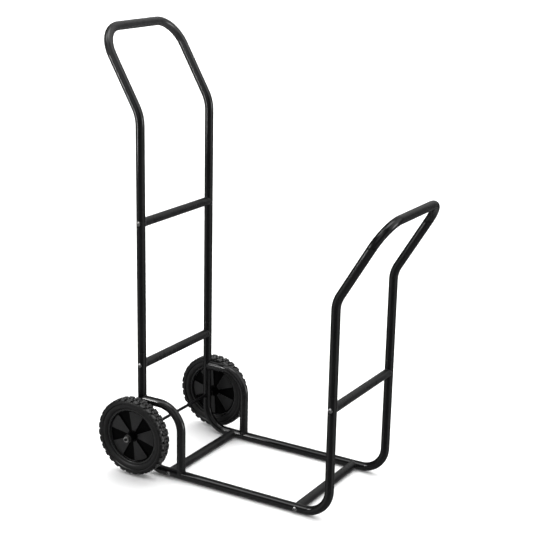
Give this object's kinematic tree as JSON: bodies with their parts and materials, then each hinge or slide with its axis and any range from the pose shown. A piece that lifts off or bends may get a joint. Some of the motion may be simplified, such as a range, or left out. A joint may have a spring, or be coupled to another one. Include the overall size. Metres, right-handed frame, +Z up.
{
  "type": "fireside log cart",
  "caption": "Tall wheeled cart of bent round steel tube for carrying firewood: an open cradle between two side frames, with a cranked push handle behind and a low hoop in front.",
  "frame": {"origin": "on the floor, at the centre of the cart's length and width", "axes": "+Z up, +X towards the front with the low hoop, +Y towards the left side"},
  "size_m": [0.7898, 0.4446, 1.1134],
  "materials": {
    "frame_tube": "semi-gloss black powder coat",
    "crossbar_tube": "satin black powder coat",
    "plug_plastic": "moulded black plastic",
    "screw_zinc": "bright zinc plating",
    "axle_steel": "plain dark steel rod",
    "hardware_zinc": "zinc plating",
    "rim_plastic": "moulded black plastic",
    "tyre_rubber": "solid black rubber"
  },
  "bodies": {
    "frame": {"push_handle": "frame_tube", "front_hoop": "frame_tube", "left_rear_post": "frame_tube", "right_rear_post": "frame_tube", "left_base_frame": "frame_tube", "right_base_frame": "frame_tube", "left_axle_arch": "frame_tube", "right_axle_arch": "frame_tube", "upper_rear_crossbar": "crossbar_tube", "lower_rear_crossbar": "crossbar_tube", "front_crossbar": "crossbar_tube", "rear_floor_crossbar": "crossbar_tube", "front_floor_crossbar": "crossbar_tube", "crossbar_plugs": "plug_plastic", "crossbar_screws": "screw_zinc", "axle": "axle_steel", "left_inner_washer": "hardware_zinc", "right_inner_washer": "hardware_zinc", "left_outer_washer": "hardware_zinc", "right_outer_washer": "hardware_zinc", "left_axle_nut": "hardware_zinc", "right_axle_nut": "hardware_zinc"},
    "left_wheel": {"left_wheel_rim": "rim_plastic", "left_tyre": "tyre_rubber"},
    "right_wheel": {"right_wheel_rim": "rim_plastic", "right_tyre": "tyre_rubber"}
  },
  "joints": [
    {"name": "left_wheel_spin", "type": "hinge", "parent": "frame", "child": "left_wheel", "pos_m": [-0.26994, 0.187, 0.104], "axis": [0, 1, 0], "continuous": true},
    {"name": "right_wheel_spin", "type": "hinge", "parent": "frame", "child": "right_wheel", "pos_m": [-0.26994, -0.187, 0.104], "axis": [0, 1, 0], "continuous": true}
  ]
}
